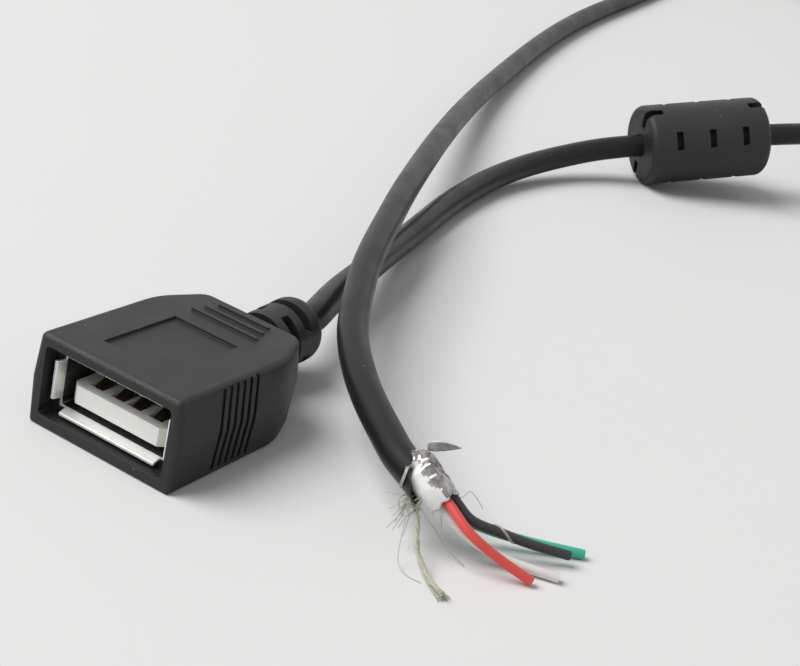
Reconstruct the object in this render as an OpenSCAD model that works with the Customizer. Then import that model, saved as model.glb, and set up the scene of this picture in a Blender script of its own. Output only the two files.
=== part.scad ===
// USB-A socket on a screened cable with a ferrite bead and a stripped far end.
// The socket lies flat: mouth towards -Y, cable towards +Y, underside on z = 0.

/* [Moulding] */
// Width of the moulding at its parting line
body_w = 17.3; // [16.8:0.1:22]
// Height of the moulding at the mouth
body_h = 9.2; // [9:0.1:13]
// Length of the moulding without the strain relief
body_len = 21; // [20:0.1:28]
// Length of the straight sides, from the mouth
straight_len = 15.7; // [14:0.1:18]
// Width of the moulding at its rear edge
rear_w = 12.6; // [10:0.1:16]
// How far each side leans in between parting line and edge
side_draft = 0.35; // [0:0.05:0.6]
// How much lower the top is at the rear edge
rear_drop = 0.5; // [0:0.1:1]
// Reach of the rounding, to each side, where the sides start to taper
taper_round = 1.5; // [1:0.1:4]
// Reach of the rounding, to each side, of the rear corners
rear_round = 0.7; // [0.5:0.1:2]
// Radius on the moulding's upper edges
edge_r = 0.7; // [0.3:0.1:1]
// Radius on the moulding's lower edges
foot_r = 0.3; // [0.2:0.1:0.8]
// Play between a moulding and what it is moulded on
mould_gap = 0.05; // [0.02:0.01:0.1]

/* [Moulding details] */
// Free width beside each side lip in the mouth
mouth_side = 0.75; // [0.5:0.05:0.9]
// Free height above and below the lips in the mouth
mouth_rise = 0.6; // [0.5:0.05:0.8]
// Corner radius of the mouth
mouth_r = 0.4; // [0.2:0.1:1]
// Width of the sunk panel on the top
panel_w = 7.6; // [5:0.1:10]
// Length of the sunk panel
panel_len = 10.1; // [6:0.1:11]
// Distance of the panel from the mouth
panel_start = 3.5; // [3:0.1:6]
// Depth of the panel
panel_depth = 0.3; // [0.1:0.05:0.5]
// Number of raised bars
bar_count = 3; // [1:1:3]
// Distance of the first raised bar from the mouth
bar_start = 16.3; // [15.8:0.1:17.6]
// Distance between the raised bars
bar_pitch = 1.5; // [1:0.1:2]
// Length of the first raised bar
bar_len = 7.9; // [6:0.1:9]
// How much shorter each next bar is
bar_step = 0.9; // [0:0.1:1.5]
// Width of a raised bar
bar_w = 0.4; // [0.2:0.05:0.8]
// Height of a raised bar
bar_h = 0.25; // [0.1:0.05:0.5]
// Number of grip grooves on each side
groove_count = 6; // [3:1:7]
// Distance of the first groove from the mouth
groove_start = 6.1; // [4:0.1:7]
// Distance between the grooves
groove_pitch = 0.98; // [0.8:0.02:1.3]
// Width of a groove
groove_w = 0.45; // [0.2:0.05:0.7]
// Depth of a groove
groove_depth = 0.35; // [0.1:0.05:0.5]
// Distance of a groove's ends from top and underside
groove_margin = 0.5; // [0.2:0.1:1.5]

/* [Strain relief] */
// Length of the strain relief behind the moulding
relief_len = 8.8; // [7:0.1:14]
// Outer diameter of the strain relief
relief_d = 6.8; // [6:0.1:9]
// Diameter left in the bottom of its slots
relief_core_d = 4.8; // [4.4:0.1:6]
// Radius on its far end
relief_r = 1.6; // [0.4:0.1:2]
// Number of slots in the strain relief
slot_count = 3; // [1:1:3]
// Width of a slot along the cable
slot_w = 1.1; // [0.6:0.1:1.6]
// Distance of the first slot from the moulding
slot_start = 0.9; // [0.6:0.1:2]
// Distance between the slots
slot_pitch = 2.2; // [1.8:0.05:3]
// Width of the two webs that a slot leaves
slot_web = 2.4; // [1:0.1:4]
// Rise of the strain relief's axis in degrees
relief_rise = 3.2; // [0:0.1:5]

/* [Receptacle] */
// Inner width of the shell
shell_w = 12.5; // [12.3:0.05:13.5]
// Inner height of the shell
shell_h = 5.12; // [5:0.02:5.6]
// Length of the shell behind its lips
shell_len = 12.3; // [11.8:0.1:13]
// Thickness of the shell's sheet
sheet_t = 0.3; // [0.2:0.05:0.4]
// Distance of the lips behind the mouth's face
lip_setback = 0.9; // [0.5:0.1:1.5]
// Length of the lips along the socket
lip_len = 1.0; // [0.6:0.1:1.4]
// How far the lips flare out
lip_flare = 0.3; // [0.1:0.05:0.6]
// Distance of the lips' ends from the shell's corners
lip_corner = 0.6; // [0.3:0.1:1.2]
// Width of a spring finger in the shell
finger_w = 1.6; // [1:0.1:2.2]
// Length of a spring finger
finger_len = 4.2; // [3:0.1:5]
// Distance of a finger's root from the shell's front edge
finger_root = 3.2; // [2:0.1:5]
// How far a finger's tip leans into the socket
finger_lean = 0.35; // [0.1:0.05:0.5]
// Width of the cut around a finger
finger_cut = 0.35; // [0.2:0.05:0.5]
// Distance of a finger from the socket's axis
finger_x = 3.6; // [2.5:0.1:4.5]
// Width of the shell's rear tab
tab_w = 2.4; // [1.5:0.1:4]
// Length of the shell's rear tab
tab_len = 2.3; // [1.5:0.1:3]

/* [Tongue and contacts] */
// Width of the tongue
tongue_w = 11.1; // [10.8:0.05:11.4]
// Thickness of the tongue
tongue_h = 1.84; // [1.7:0.02:2]
// Gap between tongue and shell on the near side
tongue_gap = 0.66; // [0.5:0.02:0.8]
// Distance of the tongue's front behind the lips
tongue_setback = 1.1; // [0.5:0.1:2]
// Chamfer on the tongue's front corners
tongue_chamfer = 0.7; // [0.3:0.1:1.2]
// Length of the insulator's base
base_len = 2.4; // [1.8:0.1:3]
// Distance of the outer contacts from the axis
contact_outer = 3.5; // [3.4:0.05:3.6]
// Distance of the inner contacts from the axis
contact_inner = 1.0; // [0.95:0.05:1.1]
// Width of a contact
contact_w = 1.1; // [0.9:0.05:1.3]
// Thickness of a contact
contact_t = 0.25; // [0.15:0.05:0.3]
// Free width on each side of a contact in its slot
slot_side = 0.2; // [0.1:0.05:0.3]
// Depth of the slots in the tongue
slot_depth = 0.55; // [0.4:0.05:0.8]
// Distance of the slots from the tongue's front
slot_front = 1.1; // [0.6:0.1:2]
// How far a contact's crown stands over the tongue
crown_rise = 0.3; // [0.1:0.05:0.5]
// Length of the contact tails behind the base
tail_len = 2.2; // [1.5:0.1:3]

/* [Cable] */
// Diameter of the cable's jacket
cable_d = 3.2; // [3:0.1:3.8]
// How far the jacket ends behind the moulding's rear edge
jacket_inset = 1.0; // [0.5:0.1:3]
// Diameter of an insulated wire
wire_d = 0.9; // [0.8:0.05:1.1]
// Diameter of a wire's conductor
conductor_d = 0.4; // [0.3:0.05:0.6]
// Diameter of the twisted drain wire
drain_d = 0.8; // [0.5:0.05:0.9]

/* [Ferrite bead] */
// Outer diameter of the bead's moulding
bead_d = 11.5; // [11.3:0.1:18]
// Length of the bead's moulding
bead_len = 18.5; // [17:0.1:28]
// Radius on the bead's ends
bead_r = 1.0; // [0.4:0.1:2]
// Heading of the bead's axis in plan
bead_heading = 48; // [44:1:60]
// Rise of the bead's axis in degrees: it leans on the edge of its near end
bead_rise = 11; // [8:0.5:12]
// Diameter of the ferrite core
core_d = 10; // [8:0.1:10.5]
// Length of the ferrite core
core_len = 15; // [12:0.1:15.5]
// Play between the cable and the core's bore
core_play = 0.3; // [0.1:0.05:0.8]
// Windows in a row along the bead
window_count = 3; // [1:1:3]
// Rows of windows around the bead
window_rows = 4; // [2:1:6]
// Length of a window around the bead
window_l = 2.6; // [1.5:0.1:4]
// Width of a window along the bead
window_w = 1.0; // [0.6:0.1:2]
// Distance between the windows in a row
window_pitch = 5.1; // [3:0.1:6]
// Turn of the window rows around the axis
window_turn = 24; // [0:1:90]
// Width of a blade slot in the bead's ends
blade_w = 1.1; // [0.6:0.1:1.6]
// Length of a blade slot along the bead's side
blade_len = 2.6; // [1:0.1:4]
// Depth of a blade slot
blade_depth = 1.0; // [0.4:0.1:1.2]
// Turn of the blade slots from the first window row
blade_turn = 51; // [30:1:60]

/* [Stripped end] */
// Thickness of the foil
foil_t = 0.12; // [0.08:0.02:0.3]
// Straight run of foil and wires past the jacket's cut
foil_lead = 0.9; // [0.6:0.1:1.4]
// Length of the foil's leaf
leaf_len = 3.4; // [2:0.1:5]
// Width of the foil's leaf
leaf_w = 1.1; // [0.6:0.1:2]
// Diameter of a loose shield strand
strand_d = 0.16; // [0.1:0.02:0.3]
// Number of loose shield strands
strand_count = 8; // [4:1:8]
// Reach of the longest loose strand
strand_reach = 5; // [3:0.5:7]

/* [Hidden] */
$fn = 48;
// Overlap of joined shapes, reach of a cut past a face, gap at a seated end
join = 0.01;
past = 1;
seat = 0.03;
socket_len = body_len + relief_len;
mouth_y = -14.5;
rear_y = mouth_y + body_len;
axis_z = body_h / 2;
top_slope = atan(rear_drop / body_len);
shell_out_w = shell_w + 2 * sheet_t;
shell_out_h = shell_h + 2 * sheet_t;
lip_y = mouth_y + lip_setback;
shell_y = lip_y + lip_len;
shell_end = shell_y + shell_len;
mouth_w = shell_w + 2 * (lip_flare + mouth_side);
mouth_h = shell_h + 2 * (lip_flare + mouth_rise);
shell_floor = axis_z - shell_h / 2;
tongue_z = shell_floor + tongue_gap;
tongue_y = lip_y + tongue_setback;
base_end = shell_end + mould_gap;
base_y = base_end - base_len;
slot_floor = tongue_z + tongue_h - slot_depth;
tail_end = base_end + tail_len;
contact_x = [-contact_outer, -contact_inner, contact_inner, contact_outer];
// Contact's spring, measured from the base and from the slot's front
spring_root = 1.5;
crown_rear = 2.4;
crown_front = 1.6;
tip_front = 0.5;
tip_lift = 0.1;

// Inner mould around shell, tails and leads
cover_wall = 0.6;
cover_roof = 0.42;
cover_lead = 3.2;
cover_rear_wall = 0.5;
cover_shoulder = 1.6;
taper_lead = 0.4;
chamber_side = 0.8;
chamber_lead = 0.4;
cover_w = shell_out_w + 2 * cover_wall;
cover_h = shell_out_h + 2 * cover_roof;
cover_y = shell_y + cover_lead;
cover_end = rear_y - cover_rear_wall;
cover_rear_w = relief_core_d + 2 * cover_shoulder;
cover_taper = mouth_y + straight_len - taper_lead;
chamber_w = 2 * (contact_outer + chamber_side) + contact_w;
chamber_y = base_end;
chamber_floor = shell_floor - sheet_t;
chamber_top = axis_z + cable_d / 2;

// Leads between the jacket's inner end and the contacts
relief_dir = [0, cos(relief_rise), sin(relief_rise)];
relief_root = [0, rear_y, axis_z];
relief_end = relief_root + relief_len * relief_dir;
jacket_start = relief_root + jacket_inset * relief_dir;
jacket_y = jacket_start[1] - cable_d / 2 * relief_dir[2];
lead_z = slot_floor + contact_t + wire_d / 2;
solder_len = 1.1;
solder_w = 0.8;
solder_h = wire_d * 0.8;
solder_rear = 0.4;
lead_bare = 0.5;
lead_straight = 0.6;
bundle_run = 0.8;
solder_y = tail_end - solder_len - solder_rear;
lead_y = solder_y + solder_len + lead_bare;
bundle = wire_d * 0.54;
lead_lift = wire_d * 0.65;
lead_start = [[-bundle, lead_lift], [-bundle, -bundle], [bundle, -bundle], [bundle, lead_lift]];
lead_core = conductor_d / 2 + seat;
drain_z = shell_floor + drain_d / 2;
drain_bare = 0.3;
drain_straight = 0.5;
drain_run = 1.6;

// Bead on the cable
bead_rest = bead_r + (bead_d / 2 - bead_r) * cos(bead_rise) + (bead_len / 2 - bead_r) * sin(bead_rise);
bead_at = [-1.3, 116.8, bead_rest];
bead_dir = [cos(bead_heading) * cos(bead_rise), sin(bead_heading) * cos(bead_rise), sin(bead_rise)];
bead_straight = 2;
bead_run = bead_len / 2 + bead_straight;
bead_bore = cable_d + 2 * mould_gap;
core_bore = cable_d + 2 * core_play;

// Route of the cable, from inside the moulding to the stripped end
low_z = 1.65;
exit_straight = 1;
route = [
    jacket_start, relief_end - exit_straight * relief_dir, relief_end,
    [-0.3, 17.8, 5.16], [-1.1, 20.4, 5.05], [-2.4, 24.2, 4.8], [-6.6, 38.3, 3.4], [-11, 53.8, 2.1],
    [-15.6, 74.4, 1.7], [-16.4, 82.9, 1.9], [-16, 90.9, 2.4], [-14.2, 98.7, 3.2], [-11.3, 105, 4.3],
    bead_at - bead_run * bead_dir, bead_at - bead_len / 2 * bead_dir,
    bead_at + bead_len / 2 * bead_dir, bead_at + bead_run * bead_dir,
    [9.1, 129.3, 9.9], [13.9, 150, 7.9], [10.8, 171, 3.7], [3.2, 192.5, 1.85], [-6, 214, low_z],
    [-21.6, 253, low_z], [-26, 264, low_z], [-32.1, 271.9, low_z], [-41.8, 275.3, low_z], [-51.4, 273, low_z],
    [-58.6, 265.8, low_z], [-61.5, 250, low_z], [-58.4, 210, low_z], [-54.5, 181, low_z],
    [-40, 124, 2.4], [-17.9, 65.9, 7], [-8.5, 44.2, 8.3], [0.8, 24.2, 8.1], [8.5, 11.8, 7.5],
    [15, 4.9, 7], [20, 0.9, 6.5], [22.4, -0.9, 6.3], [25.1, -2.4, 6.1]
];
track = smooth(route, 2);
cut = route[len(route) - 1];
cut_dir = heading(track, len(track) - 1);
cut_side = unit(cross(cut_dir, [0, 0, 1]));
cut_up = cross(cut_side, cut_dir);

// Stripped wires: place in the bundle, then the points towards the free end
floor_z = wire_d / 2 + seat;
over_z = 1.2 * wire_d;
red_way = [[31.8, -2.9, 3.7], [34.7, -1.7, 1.9], [37.6, -0.3, floor_z]];
black_way = [[30.7, -0.9, 3.7], [33, 1, 2.65], [35.4, 3.1, 1.75], [38.2, 5.4, over_z]];
green_way = [[30.15, 0, 2.85], [31.7, 2.3, 1.6], [34.2, 4.2, 1.1], [38.6, 7.7, floor_z]];
white_way = [[30.4, -2, 3], [32.6, -0.9, 1.7], [34.6, 0.3, 0.9], [39, 2.2, floor_z]];
foil_in = wire_d * 1.36;
foil_out = foil_in + foil_t;
core_way = [cut + seat * cut_dir, cut + foil_lead / 3 * cut_dir, cut + foil_lead * cut_dir,
    [27.3, -2.5, 5.5], [28.8, -1.9, 4.7]];

// Screen pulled to one side and twisted
fan_from = -50;
fan_sweep = 80;
strand_from = -160;
strand_sweep = 120;
strand_drop = 0.75;
strand_step = 1.2;
strand_lead = 0.7;
strand_flare = 0.25;
leaf_heading = 62;
leaf_lift = 25;
leaf_ahead = 0.5;
leaf_root = cut_point(-0.72 * foil_out, 0.62 * foil_out, leaf_ahead);
drain_low = drain_d / 2 + seat;
drain_rim = foil_out + drain_d / 2 + 2 * seat;
drain_lead = 1.2;
drain_way = [cut_point(0.26 * drain_rim, -0.97 * drain_rim, seat),
    cut_point(0.4 * drain_rim, -1.1 * drain_rim, drain_lead), [27.2, -4.2, 3.3], [28, -5, 2.5],
    [28.8, -5.8, 1.6], [30.3, -6.85, 0.8], [32.1, -7.9, drain_low], [33.6, -8.7, drain_low]];

function unit(v) = v / norm(v);
function pick(p, i) = p[max(0, min(len(p) - 1, i))];
function slope(p, i) =
    i == 0 ? unit(p[1] - p[0])
    : i == len(p) - 1 ? unit(p[i] - p[i - 1])
    : let (a = p[i] - p[i - 1], b = p[i + 1] - p[i])
        (unit(a) * norm(b) + unit(b) * norm(a)) / (norm(a) + norm(b));
function between(p, i, t) =
    let (d = norm(p[i + 1] - p[i]), s = t * t, c = t * t * t)
    (2 * c - 3 * s + 1) * p[i] + (c - 2 * s + t) * d * slope(p, i)
        + (3 * s - 2 * c) * p[i + 1] + (c - s) * d * slope(p, i + 1);
function smooth(p, n) = [
    for (i = [0:len(p) - 2]) for (k = [0:n - 1]) between(p, i, k / n),
    p[len(p) - 1]
];
function from_start(p) = [for (v = p) v - p[0]];
function heading(p, i) = unit(pick(p, i + 1) - pick(p, i - 1));
function ring(c, t, r, n) =
    let (s = unit(cross(t, [0, 0, 1])), u = cross(s, t))
    [for (k = [0:n - 1]) c + r * (cos(360 * k / n) * s + sin(360 * k / n) * u)];
function rings(p, r, n) = [for (i = [0:len(p) - 1]) for (v = ring(p[i], heading(p, i), r, n)) v];
function wall(m, n, a) = [for (i = [0:m - 2]) for (k = [0:n - 1])
    let (p = a + i * n + k, q = a + i * n + (k + 1) % n) each [[p, q, q + n], [p, q + n, p + n]]];
function flip(faces) = [for (f = faces) [for (i = [len(f) - 1:-1:0]) f[i]]];
function cap(n, a) = [for (k = [0:n - 1]) a + k];
function collar(n, a, b) = [for (k = [0:n - 1]) [a + k, b + k, b + (k + 1) % n, a + (k + 1) % n]];
function cut_point(side, up, ahead) = cut + side * cut_side + up * cut_up + ahead * cut_dir;
function beside(p, i, side, up) =
    let (t = slope(p, i), s = unit(cross(t, [0, 0, 1]))) p[i] + side * s + up * cross(s, t);
function wire_path(side, up, way) =
    smooth(concat([for (i = [0:len(core_way) - 1]) beside(core_way, i, side, up)], way), 3);
function lead_path(i) = smooth([
    [contact_x[i], lead_y, lead_z],
    [contact_x[i], lead_y + lead_straight, lead_z],
    [lead_start[i][0], jacket_y - bundle_run, axis_z + lead_start[i][1]],
    [lead_start[i][0], jacket_y - seat, axis_z + lead_start[i][1]]], 3);
function top_z(y) = body_h - rear_drop * (y - mouth_y) / body_len;
function soft_corner(a, b, c, reach, n) =
    let (p = b + reach * unit(a - b), q = b + reach * unit(c - b))
    [for (k = [0:n]) let (t = k / n) (1 - t) * (1 - t) * p + 2 * t * (1 - t) * b + t * t * q];
function half_plan(front, rear, r) =
    let (a = [front - r, mouth_y + r], b = [front - r, mouth_y + straight_len], c = [rear - r, rear_y - r])
    concat(
        r > 0 ? [a] : soft_corner([0, mouth_y], a, b, edge_r, 2),
        soft_corner(a, b, c, taper_round, 4), soft_corner(b, c, [0, rear_y - r], rear_round, 3));

// Solid round bar along a list of points
module bar_along(p, d, n) {
    m = len(p);
    translate(p[0]) polyhedron(rings(from_start(p), d / 2, n),
        concat(wall(m, n, 0), flip([cap(n, 0)]), [cap(n, (m - 1) * n)]));
}

// Hollow round tube along a list of points
module tube_along(p, d_out, d_in, n) {
    m = len(p);
    inner = m * n;
    last = (m - 1) * n;
    q = from_start(p);
    translate(p[0]) polyhedron(
        concat(rings(q, d_out / 2, n), rings(q, d_in / 2, n)),
        concat(wall(m, n, 0), flip(wall(m, n, inner)), collar(n, 0, inner), flip(collar(n, last, inner + last))));
}

// Extrude a (y, z) outline across the socket, centred on x = 0
module across(w) {
    rotate([90, 0, 90]) translate([0, 0, -w / 2]) linear_extrude(w) children();
}

// Extrude an (x, z) outline along +Y from y = 0
module along(l) {
    translate([0, l, 0]) rotate([90, 0, 0]) linear_extrude(l) children();
}

// Stand a part made along +Z on the strain relief's axis
module on_relief(s) {
    translate(relief_root) rotate([relief_rise, 0, 0]) translate([0, s, 0]) rotate([-90, 0, 0]) children();
}

module rounded_square(w, h, r) {
    square([w - 2 * r, h], center = true);
    square([w, h - 2 * r], center = true);
    for (x = [-1, 1], y = [-1, 1]) translate([x * (w / 2 - r), y * (h / 2 - r)]) circle(r);
}

// Balls of one radius along the edges of the moulding; low says that they lie at its foot
module edge_balls(r, low) {
    for (p = half_plan(body_w / 2 - side_draft, (rear_w - side_draft) / 2, r), x = [-1, 1])
        translate([x * p[0], p[1], low ? r : top_z(p[1]) - r]) sphere(r, $fn = low ? 16 : 24);
}

module parting_plate() {
    right = half_plan(body_w / 2, rear_w / 2, 0);
    last = len(right) - 1;
    translate([0, 0, axis_z]) linear_extrude(join)
        polygon(concat(right, [for (i = [last:-1:0]) [-right[i][0], right[i][1]]]));
}

module moulding_block() {
    hull() {
        edge_balls(edge_r, false);
        edge_balls(foot_r, true);
        parting_plate();
    }
}

module relief() {
    on_relief(-past) rotate_extrude() {
        square([relief_d / 2, relief_len + past - relief_r]);
        square([relief_d / 2 - relief_r, relief_len + past]);
        translate([relief_d / 2 - relief_r, relief_len + past - relief_r]) circle(relief_r);
    }
}

module relief_slot(s, turn) {
    on_relief(s) rotate([0, 0, turn]) difference() {
        cylinder(d = 2 * relief_d, h = slot_w);
        translate([0, 0, -past]) cylinder(d = relief_core_d, h = slot_w + 2 * past);
        translate([0, 0, slot_w / 2]) cube([3 * relief_d, slot_web, slot_w + 2 * past], center = true);
    }
}

module raised_bars() {
    for (i = [0:bar_count - 1]) {
        y = mouth_y + bar_start + i * bar_pitch;
        translate([0, y, top_z(y)]) rotate([-top_slope, 0, 0])
            cube([bar_len - i * bar_step, bar_w, 2 * bar_h], center = true);
    }
}

module panel_cut() {
    y = mouth_y + panel_start + panel_len / 2;
    translate([0, y, top_z(y)]) rotate([-top_slope, 0, 0])
        cube([panel_w, panel_len, 2 * panel_depth], center = true);
}

module groove_cut() {
    mid = body_w / 2 - groove_depth;
    end = mid - side_draft * (1 - 2 * groove_margin / body_h);
    low = groove_margin;
    high = body_h - groove_margin;
    along(groove_w) polygon([[mid, axis_z], [end, high], [body_w, high], [body_w, low], [end, low]]);
}

module shell_passage(l) {
    along(l) translate([0, axis_z])
        square([shell_out_w + 2 * mould_gap, shell_out_h + 2 * mould_gap], center = true);
}

module cover_shape(gap) {
    w = cover_w / 2 + gap;
    rear = cover_rear_w / 2 + gap;
    h = cover_h + 2 * gap;
    translate([0, 0, axis_z - h / 2]) linear_extrude(h) polygon([
        [-w, cover_y - gap], [w, cover_y - gap], [w, cover_taper], [rear, cover_end + gap],
        [-rear, cover_end + gap], [-w, cover_taper]]);
}

module cable_bore(s) {
    on_relief(s) cylinder(d = cable_d + 2 * mould_gap, h = socket_len);
}

// Outer moulding with strain relief, grip grooves, panel and bars
module socket_overmould() {
    color("#2c2d2d") difference() {
        union() {
            moulding_block();
            relief();
            raised_bars();
        }
        translate([0, mouth_y - past, 0]) along(past + shell_y - mouth_y)
            translate([0, axis_z]) rounded_square(mouth_w, mouth_h, mouth_r);
        translate([0, shell_y - join, 0]) shell_passage(cover_y - shell_y + 2 * join);
        cover_shape(mould_gap);
        cable_bore(cover_end - rear_y - past);
        panel_cut();
        for (i = [0:groove_count - 1], side = [0, 1]) mirror([side, 0, 0])
            translate([0, mouth_y + groove_start + i * groove_pitch - groove_w / 2, 0]) groove_cut();
        for (i = [0:slot_count - 1]) relief_slot(slot_start + i * slot_pitch, 90 * (i % 2));
    }
}

// Pre-moulded cover that locks shell, tails and leads together
module inner_mould() {
    color("#d9dad4") difference() {
        cover_shape(0);
        translate([0, cover_y - past, 0]) shell_passage(past + shell_end + mould_gap - cover_y);
        translate([0, 0, chamber_floor]) linear_extrude(chamber_top - chamber_floor) polygon([
            [-chamber_w / 2, chamber_y], [chamber_w / 2, chamber_y], [chamber_w / 2, lead_y + chamber_lead],
            [cable_d / 2 + mould_gap, cover_end + past], [-cable_d / 2 - mould_gap, cover_end + past],
            [-chamber_w / 2, lead_y + chamber_lead]]);
    }
}

// Lip outline in (y, z) above the socket's axis, for a wall at height half
module lip_outline(half) {
    polygon([[0, half], [-lip_len, half + lip_flare], [-lip_len, half + lip_flare + sheet_t],
        [0, half + sheet_t]]);
}

module finger_window() {
    translate([0, finger_root + (finger_len + finger_cut) / 2, 0])
        cube([finger_w + 2 * finger_cut, finger_len + finger_cut, 4 * sheet_t], center = true);
}

module finger() {
    across(finger_w) polygon([
        [finger_root - join, 0], [finger_root + finger_len * 0.8, -finger_lean],
        [finger_root + finger_len, -finger_lean * 0.5], [finger_root + finger_len, sheet_t - finger_lean * 0.5],
        [finger_root + finger_len * 0.8, sheet_t - finger_lean], [finger_root - join, sheet_t]]);
}

// Folded sheet shell with flared lips, spring fingers and a rear tab
module receptacle_shell() {
    color("#c9ccd0") translate([0, shell_y, axis_z]) {
        difference() {
            along(shell_len) difference() {
                square([shell_out_w, shell_out_h], center = true);
                square([shell_w, shell_h], center = true);
            }
            for (x = [-finger_x, finger_x], s = [0, 1]) mirror([0, 0, s])
                translate([x, 0, shell_h / 2 + sheet_t / 2]) finger_window();
        }
        for (x = [-finger_x, finger_x], s = [0, 1]) mirror([0, 0, s])
            translate([x, 0, shell_h / 2]) finger();
        for (s = [0, 1]) mirror([0, 0, s]) across(shell_w - 2 * lip_corner) lip_outline(shell_h / 2);
        for (s = [0, 1]) mirror([s, 0, 0]) rotate([0, 90, 0])
            across(shell_h - 2 * lip_corner) lip_outline(shell_w / 2);
        translate([-tab_w / 2, shell_len, -shell_h / 2 - sheet_t]) cube([tab_w, tab_len, sheet_t]);
    }
}

// White tongue with its base, slotted for the contacts
module contact_insulator() {
    channel = contact_w + 2 * mould_gap;
    color("#f1f1ec") difference() {
        union() {
            translate([0, 0, tongue_z]) linear_extrude(tongue_h) polygon([
                [-tongue_w / 2 + tongue_chamfer, tongue_y], [tongue_w / 2 - tongue_chamfer, tongue_y],
                [tongue_w / 2, tongue_y + tongue_chamfer], [tongue_w / 2, base_y + join],
                [-tongue_w / 2, base_y + join], [-tongue_w / 2, tongue_y + tongue_chamfer]]);
            translate([0, base_y, axis_z]) along(base_len)
                square([shell_w - 2 * mould_gap, shell_h - 2 * mould_gap], center = true);
        }
        for (x = contact_x) {
            translate([x - contact_w / 2 - slot_side, tongue_y + slot_front, slot_floor])
                cube([contact_w + 2 * slot_side, base_y - tongue_y - slot_front, tongue_h]);
            translate([x - channel / 2, base_y - join, slot_floor])
                cube([channel, base_len + past, contact_t + mould_gap]);
        }
    }
}

// One contact: tail, stretch through the base, spring with a crown, tucked tip
module contact(i) {
    front = tongue_y + slot_front;
    crown = tongue_z + tongue_h + crown_rise - slot_floor - contact_t;
    way = [[tail_end, 0], [base_y - spring_root, 0], [front + crown_rear, crown], [front + crown_front, crown],
        [front + tip_front, tip_lift]];
    color("#c79a4b") translate([contact_x[i], 0, slot_floor]) across(contact_w)
        polygon(concat(way, [for (k = [len(way) - 1:-1:0]) way[k] + [0, contact_t]]));
}

module contact_vbus() { contact(0); }
module contact_data_minus() { contact(1); }
module contact_data_plus() { contact(2); }
module contact_ground() { contact(3); }

// Solder on the four tails, in front of the bared conductors
module contact_solder() {
    color("#b9bcc0") for (x = contact_x) translate([x, solder_y, slot_floor + contact_t]) along(solder_len)
        polygon([[-solder_w / 2, 0], [solder_w / 2, 0], [solder_w / 4, solder_h], [-solder_w / 4, solder_h]]);
}

// Insulation of one lead inside the moulding
module lead(i) {
    tube_along(lead_path(i), wire_d, 2 * lead_core, 8);
}

module lead_red() { color("#c93b40") lead(0); }
module lead_white() { color("#f2f2f0") lead(1); }
module lead_green() { color("#2f9f7d") lead(2); }
module lead_black() { color("#202122") lead(3); }

// Bared conductors of the four leads, from the solder into the insulation
module lead_conductors() {
    color("#c07a45") for (i = [0:3]) {
        path = lead_path(i);
        bar_along(concat([path[0] + [0, solder_y + solder_len - lead_y, 0]], path), conductor_d, 8);
    }
}

// Twisted drain from the jacket's end to the shell's tab
module drain_tail() {
    joint_y = shell_end + tab_len - drain_bare;
    color("#c9ccd0") bar_along(smooth([
        [0, joint_y + seat, drain_z], [0, joint_y + drain_straight, drain_z],
        [0, jacket_y - drain_run, axis_z - cable_d / 2 + drain_d / 2],
        [0, jacket_y - seat, axis_z - cable_d / 2 + drain_d / 2]],
        3), drain_d * 0.9, 8);
}

// Solder that holds the drain on the tab
module drain_solder() {
    l = tab_len - drain_bare - mould_gap;
    color("#b9bcc0") translate([0, shell_end + mould_gap, shell_floor]) along(l)
        polygon([[-drain_d, 0], [drain_d, 0], [drain_d / 2, drain_d], [-drain_d / 2, drain_d]]);
}

// The cable's jacket as one plain cord
module cable_jacket() {
    color("#383a39") bar_along(track, cable_d, 8);
}

// Stand a part made along +X on the bead's axis
module on_bead() {
    translate(bead_at) rotate([0, -bead_rise, bead_heading]) rotate([-window_turn, 0, 0]) children();
}

module bead_tube(d, l) {
    rotate([0, 90, 0]) cylinder(d = d, h = l, center = true);
}

// Ferrite core around the cable
module ferrite_core() {
    color("#3f4143") on_bead() difference() {
        bead_tube(core_d, core_len);
        bead_tube(core_bore, core_len + 2 * past);
    }
}

module bead_body() {
    straight = bead_len - 2 * bead_r;
    rotate([0, 90, 0]) rotate_extrude() {
        translate([0, -straight / 2]) square([bead_d / 2, straight]);
        translate([0, -bead_len / 2]) square([bead_d / 2 - bead_r, bead_len]);
        for (s = [-1, 1]) translate([bead_d / 2 - bead_r, s * straight / 2]) circle(bead_r);
    }
}

module bead_windows() {
    for (row = [0:window_rows - 1], i = [0:window_count - 1]) rotate([360 * row / window_rows, 0, 0])
        translate([(i - (window_count - 1) / 2) * window_pitch, -bead_d / 2, 0])
            cube([window_w, bead_d - core_d + past, window_l], center = true);
}

module blade_slot() {
    translate([bead_len / 2 - blade_depth, -bead_d, -blade_w / 2])
        cube([bead_d, bead_d * 0.75, blade_w]);
    translate([bead_len / 2 - blade_len, -bead_d, -blade_w / 2])
        cube([bead_d, bead_d / 2 + blade_depth, blade_w]);
}

// Moulding around the core, with windows and blade slots
module bead_overmould() {
    color("#2c2d2d") on_bead() difference() {
        bead_body();
        bead_tube(core_d + 2 * mould_gap, core_len + 2 * mould_gap);
        bead_tube(bead_bore, bead_len + 2 * past);
        bead_windows();
        for (end = [0, 1], turn = [0, 180]) mirror([end, 0, 0])
            rotate([-blade_turn - turn, 0, 0]) blade_slot();
    }
}

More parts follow.
